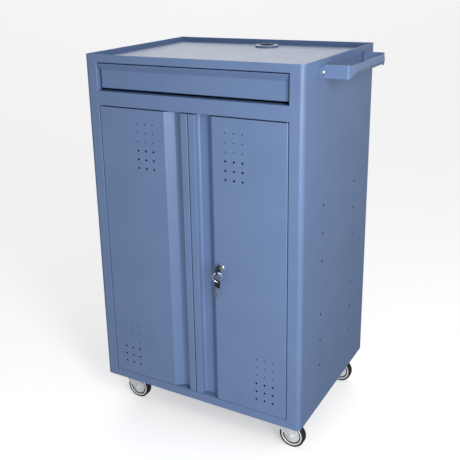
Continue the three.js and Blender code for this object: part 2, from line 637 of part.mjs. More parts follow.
// ---- push handle ----
const HANDLE_FACE = HALF_W + GAP;
const handlePath = [
  [HANDLE_FACE, HANDLE_ARM_FRONT - HANDLE_FLANGE], [HANDLE_FACE, HANDLE_ARM_FRONT],
  [HANDLE_REACH - HANDLE_T, HANDLE_ARM_FRONT], [HANDLE_REACH - HANDLE_T, HANDLE_ARM_REAR],
  [HANDLE_FACE, HANDLE_ARM_REAR], [HANDLE_FACE, HANDLE_ARM_REAR + HANDLE_FLANGE],
];
const GRIP_FRONT = HANDLE_ARM_FRONT + 4;
const GRIP_REAR = HANDLE_ARM_REAR - 4;
const CREASE_FRONT = HANDLE_ARM_FRONT + CREASE_INSET;
const CREASE_REAR = HANDLE_ARM_REAR - CREASE_INSET;
const GRIP_NARROWER = 4.5;       // pressing the crease draws both edges in by this much
const GRIP_BACK = HANDLE_REACH - HANDLE_T;
const flatEnd = [
  [GRIP_BACK, HANDLE_LOW], [HANDLE_REACH, HANDLE_LOW], [HANDLE_REACH, HANDLE_HIGH], [GRIP_BACK, HANDLE_HIGH],
];
const creased = [
  [GRIP_BACK, HANDLE_LOW + GRIP_NARROWER], [HANDLE_REACH, HANDLE_LOW + GRIP_NARROWER], [CREASE_OUT, HANDLE_BOLT_Z],
  [HANDLE_REACH, HANDLE_HIGH - GRIP_NARROWER], [GRIP_BACK, HANDLE_HIGH - GRIP_NARROWER],
];

// the filled shape of the grip: a creased middle and, at each end, a triangular facet down to the flat strip
function gripBody(shift) {
  const at = (y, section) => section.map(([x, z]) => new THREE.Vector3(x + shift, y, z));
  const between = (y0, section0, y1, section1) => solid(new ConvexGeometry([...at(y0, section0), ...at(y1, section1)]));
  return join(
    between(GRIP_FRONT, flatEnd, CREASE_FRONT, creased),
    between(CREASE_FRONT, creased, CREASE_REAR, creased),
    between(CREASE_REAR, creased, GRIP_REAR, flatEnd),
  );
}

let handle = cut(
  extrude(sheet(handlePath, [3.5, 3, 3, 3.5], -1, HANDLE_T, 4), 'z', HANDLE_LOW, HANDLE_HIGH),
  box(HANDLE_REACH - 12, HANDLE_REACH + 1, GRIP_FRONT + 0.4, GRIP_REAR - 0.4, HANDLE_LOW - 1, HANDLE_HIGH + 1),
);
handle = join(handle, cut(gripBody(0), gripBody(-HANDLE_T * 1.1)));
for (const y of HANDLE_BOLT_Y) {
  handle = cut(handle, rod('x', BOLT_HOLE_R, HANDLE_FACE - 1, HANDLE_FACE + HANDLE_T + 1, y, HANDLE_BOLT_Z));
}
// rounded outer corners of the two flanges
function flangeCorner(y, z, sy, sz) {
  const r = 6;
  const block = box(HANDLE_FACE - 1, HANDLE_FACE + HANDLE_T + 1, y, y - sy * (r + 1), z, z - sz * (r + 1));
  const square = block.intersect(box(HANDLE_FACE - 1, HANDLE_FACE + HANDLE_T + 1, y, y - sy * r, z, z - sz * r));
  return cut(square, rod('x', r, HANDLE_FACE - 2, HANDLE_FACE + HANDLE_T + 2, y - sy * r, z - sz * r, 16));
}
for (const [y, sy] of [[HANDLE_ARM_FRONT - HANDLE_FLANGE, -1], [HANDLE_ARM_REAR + HANDLE_FLANGE, 1]]) {
  handle = cut(handle, flangeCorner(y, HANDLE_LOW, sy, -1), flangeCorner(y, HANDLE_HIGH, sy, 1));
}
painted('push_handle', handle);

const HEAD_FROM = HANDLE_FACE + HANDLE_T + GAP;
HANDLE_BOLT_Y.forEach((y, i) => {
  const inside = SKIN - GAP;
  add(`handle_bolt_${i ? 'rear' : 'front'}`, turned([
    [0, inside - 6], [BOLT_R, inside - 6], [BOLT_R, inside - 4.5], [5.5, inside - 4.5], [5.5, inside],
    [BOLT_R, inside], [BOLT_R, HEAD_FROM], [7, HEAD_FROM], [6.6, HEAD_FROM + 2.2], [4.6, HEAD_FROM + 4],
    [0, HEAD_FROM + 4.6],
  ], 'x', y, HANDLE_BOLT_Z, 12), CHROME, 1, 0.2);
});

// ---- castors ----
const PLATE_TOP = -GAP;
const FORK_TOP = -7.3;
const LEG_IN = 12.5;
const LEG_T = 2.2;
const AXLE_R = 3.9;
const HUB_BORE = 4.2;
function castor(name, cx, cy) {
  const wx = cx + CASTOR_TRAIL;
  let plate = join(
    box(cx - 38, cx + 38, cy - 29, cy + 29, PLATE_TOP - 2.5, PLATE_TOP),
    turned([[0, PLATE_TOP - 1], [20, PLATE_TOP - 1], [20, PLATE_TOP - 4], [17, PLATE_TOP - 6.5], [5, PLATE_TOP - 6.5],
      [5, FORK_TOP - 5], [9, FORK_TOP - 5], [9, FORK_TOP - 8], [0, FORK_TOP - 8]], 'z', cx, cy, 20),
  );
  for (const [sx, sy] of [[-1, -1], [-1, 1], [1, -1], [1, 1]]) {
    plate = join(plate, rod('z', 5, PLATE_TOP - 6, PLATE_TOP - 2, cx + sx * 30, cy + sy * 21, 6));
  }
  add(`castor_plate_${name}`, plate, ZINC, 0.9, 0.35);

  const leg = [];
  for (let k = 0; k <= 6; k++) {
    const a = -Math.PI + 0.15 + (k * (Math.PI + 0.1)) / 6;
    leg.push([wx + 10 * Math.cos(a), WHEEL_Z + 10 * Math.sin(a)]);
  }
  leg.push([wx + 9.5, WHEEL_Z + 12], [cx + 17, FORK_TOP - 4], [cx + 17, FORK_TOP - 0.2]);
  leg.push([cx - 24, FORK_TOP - 0.2], [cx - 27, FORK_TOP - 14], [cx - 25, WHEEL_Z + 26]);
  leg.push([cx - 21.5, WHEEL_Z + 17.5], [cx - 16, WHEEL_Z + 9]);
  let fork = join(
    extrude(leg, 'y', cy - LEG_IN - LEG_T, cy - LEG_IN),
    extrude(leg, 'y', cy + LEG_IN, cy + LEG_IN + LEG_T),
    box(cx - 24, cx + 17, cy - LEG_IN - LEG_T + 0.2, cy + LEG_IN + LEG_T - 0.2, FORK_TOP - 2.6, FORK_TOP - 0.2),
    rod('z', 20, FORK_TOP - 2.6, FORK_TOP, cx, cy, 20),
    rod('y', AXLE_R, cy - 17, cy + 17, wx, WHEEL_Z, 12),
    rod('y', 6.5, cy - 19, cy - LEG_IN - LEG_T + 0.5, wx, WHEEL_Z, 6),
    rod('y', 6.5, cy + LEG_IN + LEG_T - 0.5, cy + 19, wx, WHEEL_Z, 6),
  );
  fork = cut(fork, rod('z', 5.3, FORK_TOP - 4, FORK_TOP + 1, cx, cy, 20));
  add(`castor_fork_${name}`, fork, ZINC, 0.9, 0.35);

  const hubR = 31.8;
  add(`castor_hub_${name}`, turned([
    [HUB_BORE, -10.8], [11, -10.8], [13, -8], [22, -7.4], [24, -10.4], [hubR, -10.4],
    [hubR, 10.4], [24, 10.4], [22, 7.4], [13, 8], [11, 10.8], [HUB_BORE, 10.8], [HUB_BORE, -10.8],
  ].map(([r, y]) => [r, cy + y]), 'y', wx, WHEEL_Z, 20), HUB_GREY, 0.1, 0.5);
  add(`castor_tyre_${name}`, turned([
    [hubR + GAP, -TYRE_HALF_W + 1], [35.5, -TYRE_HALF_W], [WHEEL_R, -8.5], [WHEEL_R, 8.5], [35.5, TYRE_HALF_W],
    [hubR + GAP, TYRE_HALF_W - 1], [hubR + GAP, -TYRE_HALF_W + 1],
  ].map(([r, y]) => [r, cy + y]), 'y', wx, WHEEL_Z, 28), BLACK, 0, 0.7);
}
castor('front_left', -CASTOR_X, CASTOR_Y[0]);
castor('front_right', CASTOR_X, CASTOR_Y[0]);
castor('rear_left', -CASTOR_X, CASTOR_Y[1]);
castor('rear_right', CASTOR_X, CASTOR_Y[1]);

export default root;
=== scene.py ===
import math

import bmesh
import bpy
from mathutils import Matrix, Vector


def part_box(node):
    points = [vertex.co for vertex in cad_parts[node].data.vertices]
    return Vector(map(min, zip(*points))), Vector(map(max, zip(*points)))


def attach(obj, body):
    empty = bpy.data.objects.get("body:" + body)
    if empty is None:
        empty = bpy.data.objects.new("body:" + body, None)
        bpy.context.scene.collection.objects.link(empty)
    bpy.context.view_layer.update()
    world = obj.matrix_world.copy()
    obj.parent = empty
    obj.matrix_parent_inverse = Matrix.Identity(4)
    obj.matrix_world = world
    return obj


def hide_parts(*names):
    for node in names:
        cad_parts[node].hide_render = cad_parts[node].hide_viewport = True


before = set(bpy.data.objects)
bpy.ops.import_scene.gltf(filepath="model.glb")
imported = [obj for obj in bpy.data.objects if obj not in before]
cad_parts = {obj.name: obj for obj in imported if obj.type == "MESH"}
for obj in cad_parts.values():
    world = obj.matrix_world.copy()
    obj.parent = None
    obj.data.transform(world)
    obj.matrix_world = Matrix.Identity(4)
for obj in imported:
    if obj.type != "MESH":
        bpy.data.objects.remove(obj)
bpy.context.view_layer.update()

# ---- the CAD's body frame: millimetres, z = 0 at the underside of the cabinet body ----
HALF_W = 328
HALF_D = 255
FRONT = -HALF_D
HEIGHT = 1000
T = 1.2  # thickness of the sheet
GAP = 0.3  # clearance between pieces
FOLD_R = 2  # outer radius of an ordinary fold
CORNER_R = 13  # the cabinet's rounded front corners
skin_low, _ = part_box("side_panel_left")
ORIGIN = (skin_low.x * 1000 + HALF_W, skin_low.y * 1000 + HALF_D, skin_low.z * 1000)
SKIN = HALF_W - T
INNER = SKIN - GAP
REAR_FLANGE = 20

POST_INNER = 288.7
POST_RETURN = 16
RAIL_TO_POST = POST_INNER + 1.3  # the rails end just inside the posts, so no light shows between
TOP_RAIL_Z = 978
MID_RAIL_Z = (860, 900)
MID_RAIL_BACK = FRONT + 30
TRAY_Z = 986
GROMMET_AT = (20.7, 180)
GROMMET_HOLE_R = 30
GROMMET_SEAT_R = 35.3
PANEL_BACK = HALF_D - T - GAP
TRAY_BACK = PANEL_BACK - T - GAP
FLOOR_Z = 24.5
SHELF_HOLE_Y = (-115, 126.6)
SHELF_HOLE_Z = (614, 534, 454, 374, 294, 214, 134)
SHELF_HOLE_R = 3.7
SHELF_HOLE_FLARE = 1.7
SHELF_Y = (-200, 250)
SHELF_Z = (361.5, 380.5)
SHELF_HALF = 324.5
SHELF_LIP = 12
SUPPORT_HOLE_Z = 374
PIVOT_X = 282.5
PIVOT_DEPTH = 4.5
PIN_R = 2.2
PIN_HOLE_R = 2.5
DOOR_TOP = 857.2
DOOR_BOTTOM = 26.7
DOOR_DEPTH = 19
VENT_PITCH = 25
VENT_SMALL_R, VENT_LARGE_R = 1.75, 3.05  # the upper three rows, the lower three rows
VENT_FLARE = 0.8
VENT_GRIDS = ((111.7, 817.7), (197.7, 189.4))  # the first hole of each grid
LOCK_X = 94
LOCK_Z = 443
LOCK_HOLE_R = 8.3
ROD_Y = (FRONT + 13.5, FRONT + 16.5)
TOP_ROD_X = (75, 83)
LOW_ROD_X = (105, 113)
RACK_PITCH = 5
RACK_TEETH = 6
HANDLE_BOLT_Z = 967
HANDLE_BOLT_Y = (-140, 175)
BOLT_HOLE_R = 3.3
CASTOR_X = 268
CASTOR_Y = {"front": -190, "rear": 198}
CASTOR_TRAIL = 13
CHANNEL_HALF = 34
WHEEL_Z = -62.5

# ---- edges and shading of every piece ----
BEVEL_ANGLE = 40
NORMAL_WEIGHT = 60


# ---- mesh helpers: a solid is (corner points in mm, faces) ----
def to_world(p):
    return tuple((c + o) / 1000 for c, o in zip(p, ORIGIN))


def combine(*solids):
    points, faces = [], []
    for pts, fcs in solids:
        base = len(points)
        points += pts
        faces += [tuple(i + base for i in f) for f in fcs]
    return points, faces


def lay(axis, a, b, c):
    """A section point (a, b) at distance c along an axis: (x, y) along z, (x, z) along y, (y, z) along x."""
    return {"z": (a, b, c), "y": (a, c, b), "x": (c, a, b)}[axis]


def prism(outline, axis, start, end):
    n = len(outline)
    points = [lay(axis, a, b, start) for a, b in outline] + [lay(axis, a, b, end) for a, b in outline]
    faces = [tuple(range(n)), tuple(range(2 * n - 1, n - 1, -1))]
    faces += [(i, (i + 1) % n, n + (i + 1) % n, n + i) for i in range(n)]
    return points, faces


def block(x0, x1, y0, y1, z0, z1):
    return prism([(x0, y0), (x1, y0), (x1, y1), (x0, y1)], "z", z0, z1)


def circle(radius, a=0.0, b=0.0, steps=24, phase=0.0):
    return [(a + radius * math.cos(phase + 2 * math.pi * k / steps),
             b + radius * math.sin(phase + 2 * math.pi * k / steps)) for k in range(steps)]


def rod(axis, radius, start, end, a, b, steps=24, phase=0.0):
    return prism(circle(radius, a, b, steps, phase), axis, start, end)


def lathe(profile, axis, a, b, steps=48, closed=False):
    """A turned body from (radius, distance along the axis) pairs, about a line at (a, b)."""
    points, rings = [], []
    for r, h in profile:
        if r < 1e-6:
            rings.append([len(points)] * steps)
            points.append(lay(axis, a, b, h))
            continue
        rings.append(list(range(len(points), len(points) + steps)))
        points += [lay(axis, a + u, b + v, h) for u, v in circle(r, 0, 0, steps)]
    faces = []
    pairs = list(zip(rings, rings[1:]))
    if closed:
        pairs.append((rings[-1], rings[0]))
    for low, high in pairs:
        for k in range(steps):
            quad = [low[k], low[(k + 1) % steps], high[(k + 1) % steps], high[k]]
            face = [v for i, v in enumerate(quad) if v not in quad[:i]]
            if len(face) > 2:
                faces.append(tuple(face))
    return points, faces


def bent(path, radii, side, thickness=T, steps=6):
    """The closed outline of bent sheet. The sheet lies to the left (side 1) or right (-1) of the path."""
    def unit(p, q):
        length = math.dist(p, q)
        return (q[0] - p[0]) / length, (q[1] - p[1]) / length

    def offset(p, d, by):
        return p[0] - d[1] * by, p[1] + d[0] * by

    face, other = [], []
    last = len(path) - 1
    for i, p in enumerate(path):
        if i in (0, last):
            d = unit(path[0], path[1]) if i == 0 else unit(path[last - 1], path[last])
            face.append(p)
            other.append(offset(p, d, side * thickness))
            continue
        d0, d1 = unit(path[i - 1], p), unit(p, path[i + 1])
        turn = math.atan2(d0[0] * d1[1] - d0[1] * d1[0], d0[0] * d1[0] + d0[1] * d1[1])
        radius = radii[i - 1]
        bend = math.copysign(1, turn)
        setback = radius * math.tan(abs(turn) / 2)
        start = (p[0] - d0[0] * setback, p[1] - d0[1] * setback)
        centre = offset(start, d0, bend * radius)
        other_radius = radius - bend * side * thickness
        first = math.atan2(start[1] - centre[1], start[0] - centre[0])
        for k in range(steps + 1):
            angle = first + turn * k / steps
            c, s = math.cos(angle), math.sin(angle)
            face.append((centre[0] + radius * c, centre[1] + radius * s))
            other.append((centre[0] + other_radius * c, centre[1] + other_radius * s))
    return face + other[::-1]


def rounded(x0, x1, y0, y1, r, steps=6):
    """The outline of a rectangle with rounded corners."""
    points = []
    centres = ((x1 - r, y1 - r), (x0 + r, y1 - r), (x0 + r, y0 + r), (x1 - r, y0 + r))
    for quarter, (cx, cy) in enumerate(centres):
        for k in range(steps + 1):
            a = (quarter + k / steps) * math.pi / 2
            points.append((cx + r * math.cos(a), cy + r * math.sin(a)))
    return points


def flip(outline, s):
    return [(a * s, b) for a, b in outline]


def side_name(s):
    return "right" if s > 0 else "left"


def new_object(name, solid):
    mesh = bpy.data.meshes.new(name)
    mesh.from_pydata([to_world(p) for p in solid[0]], [], solid[1])
    bm = bmesh.new()
    bm.from_mesh(mesh)
    bmesh.ops.recalc_face_normals(bm, faces=bm.faces)
    bm.to_mesh(mesh)
    bm.free()
    obj = bpy.data.objects.new(name, mesh)
    bpy.context.scene.collection.objects.link(obj)
    return obj


def bake_modifiers(obj):
    depsgraph = bpy.context.evaluated_depsgraph_get()
    mesh = bpy.data.meshes.new_from_object(obj.evaluated_get(depsgraph))
    obj.modifiers.clear()
    obj.data = mesh


def boolean(obj, solid, operation):
    tool = new_object("tool", solid)
    modifier = obj.modifiers.new("boolean", "BOOLEAN")
    modifier.operation = operation
    modifier.solver = "EXACT"
    modifier.object = tool
    bake_modifiers(obj)
    bpy.data.objects.remove(tool)


def solid_of(obj):
    """Takes an object's mesh back as a solid in mm and removes the object."""
    points = [tuple(c * 1000 - o for c, o in zip(v.co, ORIGIN)) for v in obj.data.vertices]
    faces = [tuple(f.vertices) for f in obj.data.polygons]
    bpy.data.objects.remove(obj)
    return points, faces


def piece(name, solid, body, nodes, material, slot,
          joins=(), cuts=(), adds=(), bevel=0.0, bevel_steps=2, sharp=32):
    """A visible piece: a solid with joins, cuts and adds in turn, soft edges, its material and its body."""
    obj = new_object(name, solid)
    for other in joins:
        boolean(obj, other, "UNION")
    if cuts:
        boolean(obj, combine(*cuts), "DIFFERENCE")
    for other in adds:
        boolean(obj, other, "UNION")
    obj.data.name = name
    obj.data.materials.clear()
    obj.data.materials.append(material)
    for polygon in obj.data.polygons:
        polygon.use_smooth = True
    if bevel:
        modifier = obj.modifiers.new("edges", "BEVEL")
        modifier.width = bevel / 1000
        modifier.segments = bevel_steps
        modifier.limit_method = "ANGLE"
        modifier.angle_limit = math.radians(BEVEL_ANGLE)
        modifier.use_clamp_overlap = True
        bake_modifiers(obj)
    obj.data.set_sharp_from_angle(angle=math.radians(sharp))
    weighted = obj.modifiers.new("shading", "WEIGHTED_NORMAL")
    weighted.keep_sharp = True
    weighted.weight = NORMAL_WEIGHT
    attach(obj, body)
    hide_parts(*nodes)
    return obj


# ---- materials ----
BRUSHED = (1, 1, 0.08)  # draws noise out along z


def material_base(name):
    material = bpy.data.materials.new(name)
    material.use_nodes = True
    tree = material.node_tree
    shader = tree.nodes["Principled BSDF"]
    place = tree.nodes.new("ShaderNodeTexCoord")
    return material, tree, shader, place.outputs["Object"]


def noise(tree, place, scale, detail=4.0, stretch=None):
    node = tree.nodes.new("ShaderNodeTexNoise")
    node.inputs["Scale"].default_value = scale
    node.inputs["Detail"].default_value = detail
    if stretch:
        mapping = tree.nodes.new("ShaderNodeMapping")
        mapping.inputs["Scale"].default_value = stretch
        tree.links.new(place, mapping.inputs["Vector"])
        tree.links.new(mapping.outputs["Vector"], node.inputs["Vector"])
    else:
        tree.links.new(place, node.inputs["Vector"])
    return node.outputs["Fac"]


def spread(tree, value, low, high):
    """Maps noise, which stays near 0.3 to 0.7, onto a range."""
    node = tree.nodes.new("ShaderNodeMapRange")
    node.inputs["From Min"].default_value = 0.3
    node.inputs["From Max"].default_value = 0.7
    node.inputs["To Min"].default_value = low
    node.inputs["To Max"].default_value = high
    tree.links.new(value, node.inputs["Value"])
    return node.outputs["Result"]


def tint(tree, factor, dark, light):
    node = tree.nodes.new("ShaderNodeMix")
    node.data_type = "RGBA"
    node.inputs["A"].default_value = (*dark, 1)
    node.inputs["B"].default_value = (*light, 1)
    tree.links.new(factor, node.inputs["Factor"])
    return node.outputs["Result"]


def bump(tree, shader, height, distance, strength):
    node = tree.nodes.new("ShaderNodeBump")
    node.inputs["Distance"].default_value = distance
    node.inputs["Strength"].default_value = strength
    tree.links.new(height, node.inputs["Height"])
    tree.links.new(node.outputs["Normal"], shader.inputs["Normal"])


def powder_coat(name, dark, light, roughness):
    """Smooth powder coat: faint clouding, fine orange peel, and gloss that varies a little."""
    material, tree, shader, place = material_base(name)
    shade = spread(tree, noise(tree, place, 9.0, 3.0), 0.0, 1.0)
    tree.links.new(tint(tree, shade, dark, light), shader.inputs["Base Color"])
    gloss = spread(tree, noise(tree, place, 38.0, 5.0), roughness - 0.03, roughness + 0.03)
    tree.links.new(gloss, shader.inputs["Roughness"])
    bump(tree, shader, noise(tree, place, 520.0, 2.0), 0.0002, 0.06)
    return material


def plated(name, dark, light, low, high, grain=90.0, stretch=None, peel=0.0, metallic=1.0):
    """Bare or plated metal with mottled tone and gloss, and a brushed grain if it is stretched."""
    material, tree, shader, place = material_base(name)
    shader.inputs["Metallic"].default_value = metallic
    mottle = noise(tree, place, grain, 6.0, stretch)
    tree.links.new(tint(tree, spread(tree, mottle, 0.0, 1.0), dark, light), shader.inputs["Base Color"])
    gloss = noise(tree, place, grain * 0.6, 3.0, stretch)
    tree.links.new(spread(tree, gloss, low, high), shader.inputs["Roughness"])
    if peel:
        bump(tree, shader, mottle, 0.0003, peel)
    return material


def moulded(name, dark, light, low, high, grain, relief):
    """Moulded plastic or rubber with a fine surface grain."""
    material, tree, shader, place = material_base(name)
    cloud = noise(tree, place, 60.0, 4.0)
    tree.links.new(tint(tree, spread(tree, cloud, 0.0, 1.0), dark, light), shader.inputs["Base Color"])
    tree.links.new(spread(tree, cloud, low, high), shader.inputs["Roughness"])
    bump(tree, shader, noise(tree, place, grain, 3.0), 0.0002, relief)
    return material


paint = powder_coat("blue_powder_coat", (0.128, 0.202, 0.372), (0.140, 0.216, 0.392), 0.36)
zinc = plated("zinc_plate", (0.74, 0.78, 0.83), (0.88, 0.90, 0.93), 0.40, 0.55,
              grain=140.0, peel=0.15, metallic=0.35)
bare_steel = plated("bare_steel", (0.14, 0.15, 0.17), (0.22, 0.23, 0.25), 0.34, 0.48,
                    grain=300.0, stretch=BRUSHED)
key_steel = plated("key_steel", (0.66, 0.71, 0.78), (0.78, 0.82, 0.88), 0.38, 0.50,
                   grain=300.0, stretch=BRUSHED)
lock_chrome = plated("lock_chrome", (0.80, 0.81, 0.83), (0.88, 0.89, 0.90), 0.16, 0.26, grain=220.0)
chrome = plated("chrome", (0.80, 0.81, 0.83), (0.86, 0.87, 0.89), 0.05, 0.14, grain=220.0)
grommet_metal = plated("satin_metal", (0.26, 0.29, 0.33), (0.36, 0.39, 0.43), 0.26, 0.40, grain=200.0)
black_plastic = moulded("black_plastic", (0.010, 0.011, 0.013), (0.018, 0.019, 0.022), 0.38, 0.52,
                        1400.0, 0.25)
hub_plastic = moulded("hub_plastic", (0.60, 0.62, 0.64), (0.70, 0.72, 0.74), 0.34, 0.48, 900.0, 0.12)
# a dark grey laid on the faces of the hub's recess as painted shade, darker than the depth alone would make
# it
hub_recess_painted_shade = moulded("hub_recess_painted_shade", (0.085, 0.090, 0.10), (0.12, 0.125, 0.135), 0.45, 0.60, 900.0, 0.12)
rim_metal = plated("rim_metal", (0.84, 0.85, 0.86), (0.93, 0.93, 0.94), 0.30, 0.42, grain=160.0, metallic=0.3)
tyre_rubber = moulded("tyre_rubber", (0.006, 0.006, 0.007), (0.014, 0.014, 0.015), 0.48, 0.66, 1100.0, 0.35)


def painted(name, solid, body, node, **work):
    piece(name, solid, body, [node], paint, "blue_paint", **work)


# ---- cabinet shell ----
def punched(axis, radius, widening, face, inward, a, b, steps):
    """A punched hole through sheet: straight at the outer face, then widening towards the back."""
    lip, before, behind = 0.15, 2, 4
    wide = radius + widening
    profile = [(0, face - inward * before), (radius, face - inward * before), (radius, face + inward * lip),
               (wide, face + inward * T), (wide, face + inward * behind), (0, face + inward * behind)]
    return lathe(profile, axis, a, b, steps)


def side_panel(s):
    side = side_name(s)
    path = [(HALF_W - REAR_FLANGE, HALF_D), (HALF_W, HALF_D), (HALF_W, FRONT), (POST_INNER, FRONT),
            (POST_INNER, FRONT + POST_RETURN)]
    outline = flip(bent(path, [FOLD_R, CORNER_R, FOLD_R], -1, T, 10), s)
    x0, x1 = sorted((s * (SKIN - 2), s * (HALF_W + 2)))
    cuts = [punched("x", SHELF_HOLE_R, SHELF_HOLE_FLARE, s * HALF_W, -s, y, z, 24)
            for y in SHELF_HOLE_Y for z in SHELF_HOLE_Z]
    if s > 0:
        cuts += [rod("x", BOLT_HOLE_R, x0, x1, y, HANDLE_BOLT_Z) for y in HANDLE_BOLT_Y]
    # the post's return is notched where the tray sits
    cuts.append(block(s * (POST_INNER - 1), s * (POST_INNER + 3), FRONT + T + 0.1, FRONT + POST_RETURN + 2,
                      TRAY_Z - T - GAP, HEIGHT + 1))
    painted(f"panel_{side}", prism(outline, "z", 0, HEIGHT), "cabinet", f"side_panel_{side}", cuts=cuts)


side_panel(-1)
side_panel(1)


def back_panel():
    outer = block(-INNER, INNER, PANEL_BACK - T, PANEL_BACK, 1, HEIGHT - GAP)
    painted("panel_back", outer, "cabinet", "back_panel", bevel=0.25)


back_panel()


def tray_outline(inset, steps=10):
    r = CORNER_R - T - GAP - inset
    x, y0, y1 = INNER - inset, FRONT + T + GAP + inset, TRAY_BACK - inset
    points = [(x, y1), (-x, y1)]
    for k in range(steps + 1):
        a = math.pi + k * math.pi / 2 / steps
        points.append((-x + r + r * math.cos(a), y0 + r + r * math.sin(a)))
    for k in range(steps + 1):
        a = 1.5 * math.pi + k * math.pi / 2 / steps
        points.append((x - r + r * math.cos(a), y0 + r + r * math.sin(a)))
    return points


painted("tray", prism(tray_outline(0), "z", TRAY_Z - T, HEIGHT - GAP), "cabinet", "top_tray",
        cuts=[prism(tray_outline(T), "z", TRAY_Z, HEIGHT + 1),
              rod("z", GROMMET_HOLE_R, TRAY_Z - 5, TRAY_Z + 5, *GROMMET_AT, 64),
              rod("z", GROMMET_SEAT_R, TRAY_Z - GAP, TRAY_Z + 5, *GROMMET_AT, 64)])


def rail(name, node, path, side, half, cuts=()):
    """Bent sheet that runs from side to side, with an ordinary fold at each inner point of the path."""
    sheet = bent(path, [FOLD_R] * (len(path) - 2), side)
    painted(name, prism(sheet, "x", -half, half), "cabinet", node, cuts=cuts)


def pivot(s, z0, z1, radius):
    return rod("z", radius, z0, z1, s * PIVOT_X, FRONT + PIVOT_DEPTH)


def pin_holes(z0, z1):
    return [pivot(s, z0, z1, PIN_HOLE_R) for s in (1, -1)]


def rod_hole(xs, z0, z1, clear):
    return block(xs[0] - clear, xs[1] + clear, ROD_Y[0] - clear, ROD_Y[1] + clear, z0, z1)


def rails():
    rail("rail_top", "top_rail", [(FRONT, HEIGHT), (FRONT, TOP_RAIL_Z), (FRONT + POST_RETURN, TOP_RAIL_Z)], 1,
         RAIL_TO_POST)

    low, high = MID_RAIL_Z
    z0, z1 = low - 2, low + 4
    rail("rail_middle", "mid_rail",
         [(MID_RAIL_BACK, high), (FRONT, high), (FRONT, low), (MID_RAIL_BACK, low)],
         1, RAIL_TO_POST, pin_holes(z0, z1) + [rod_hole(TOP_ROD_X, z0, z1, 1)])

    z0, z1 = 20, 27
    post_notches = [block(s * RAIL_TO_POST, s * (HALF_W + 1), FRONT - 1, FRONT + POST_RETURN + GAP, -1,
                          FLOOR_Z + 1) for s in (-1, 1)]
    rail("pan", "bottom_pan", [(FRONT, 0), (FRONT, FLOOR_Z), (TRAY_BACK, FLOOR_Z), (TRAY_BACK, 0)], -1, INNER,
         post_notches + pin_holes(z0, z1) + [rod_hole(LOW_ROD_X, z0, z1, 1)])

    top = FLOOR_Z - T - GAP
    for end, y in CASTOR_Y.items():
        y0, y1 = y - CHANNEL_HALF, y + CHANNEL_HALF
        rail(f"channel_{end}", f"cross_channel_{end}", [(y0, top), (y0, 0), (y1, 0), (y1, top)], 1, INNER)

    (y0, y1), (low, high) = SHELF_Y, SHELF_Z
    rail("shelf_sheet", "shelf",
         [(y0 + SHELF_LIP, low), (y0, low), (y0, high), (y1, high), (y1, low), (y1 - SHELF_LIP, low)],
         -1, SHELF_HALF)


rails()


def shelf_supports():
    """Small angle brackets under the shelf, each with a stud in one of the panel's holes."""
    low, top, reach, half_wide = 366, 379, 14, 7
    for s in (-1, 1):
        for y, end in zip(SHELF_HOLE_Y, ("front", "rear")):
            name = f"support_{side_name(s)}_{end}"
            x0, x1 = sorted((s * (INNER - T), s * HALF_W))
            bracket = [(INNER, low), (INNER, top), (INNER - reach, top)]
            solid = prism(flip(bent(bracket, [1.6], 1), s), "y", y - half_wide, y + half_wide)
            painted(name, solid, "cabinet", f"shelf_{name}",
                    joins=[rod("x", SHELF_HOLE_R - GAP, x0, x1, y, SUPPORT_HOLE_Z)], bevel=0.2)


shelf_supports()


# ---- drawer ----
def drawer():
    face_half, lip_half, lip_top, lip_low, low = 282, 286.5, 975.5, 956.5, 907
    face = FRONT + 12
    back_fold = FRONT + 30
    path = [(face + 18, low), (face, low), (face, lip_low), (FRONT, lip_top), (FRONT + 24, lip_top)]
    end_plate = [(face + 0.6, low + 0.6), (back_fold, low + 0.6), (back_fold, lip_top - 0.6),
                 (FRONT + 2.5, lip_top - 0.6), (face + 0.6, lip_low + 0.5)]
    # the lip is wider than the face below it, and its ends taper down to the face
    outside = lip_half + 5
    taper = [(face_half, low - 2), (outside, low - 2), (outside, lip_top - 1), (lip_half - 0.2, lip_top - 1),
             (face_half, lip_low)]
    tapers = [prism(flip(taper, s), "y", FRONT - 1, FRONT + 60) for s in (-1, 1)]
    sheet = prism(bent(path, [2.5, 4, 2], -1), "x", -lip_half, lip_half)
    painted("drawer_face", sheet, "drawer", "drawer_front",
            joins=[prism(end_plate, "x", s * face_half, s * (face_half - T)) for s in (-1, 1)], cuts=tapers)

    half, y0, y1, z0, z1 = 268, back_fold + GAP, 190, 908, 965
    outline = [(half, z1), (half, z0), (-half, z0), (-half, z1)]
    tub = prism(bent(outline, [2.5, 2.5], -1), "y", y0, y1)
    walls = [block(-half + 0.4, half - 0.4, y, y + T, z0 + 0.4, z1) for y in (y0, y1 - T)]
    painted("drawer_tub", tub, "drawer", "drawer_box", joins=walls)

    run = (-221, 189)
    slide_run = (y0 + 2, 187)
    screw_y, screw_z, screw_r = (-200, -60, 80, 170), 941, 3
    for s in (-1, 1):
        side = side_name(s)
        c_rail = [(275.5, 934.5), (275.5, 930), (284.3, 930), (284.3, 950), (275.5, 950), (275.5, 945.5)]
        outline = flip(bent(c_rail, [1.6] * 4, 1, T, 4), s)
        screw_holes = [prism(circle(screw_r, y, screw_z, 20), "x", s * 283, s * 286) for y in screw_y]
        bracket = [block(s * 283.7, s * INNER, *run, 936, 937.2),
                   block(s * (INNER - T), s * INNER, *run, 936, 956)]
        piece(f"runner_{side}", prism(outline, "y", *run), "cabinet", [f"drawer_runner_{side}"], zinc, "zinc",
              joins=bracket, cuts=screw_holes)
        parts = [block(s * 269, s * 279, *slide_run, 938, 942),
                 block(s * 278, s * 279.5, *slide_run, 932.5, 947.5)]
        piece(f"slide_{side}", block(s * 268.3, s * 269.5, *slide_run, 932, 948), "drawer",
              [f"drawer_slide_{side}"], zinc, "zinc", joins=parts, bevel=0.3)


drawer()


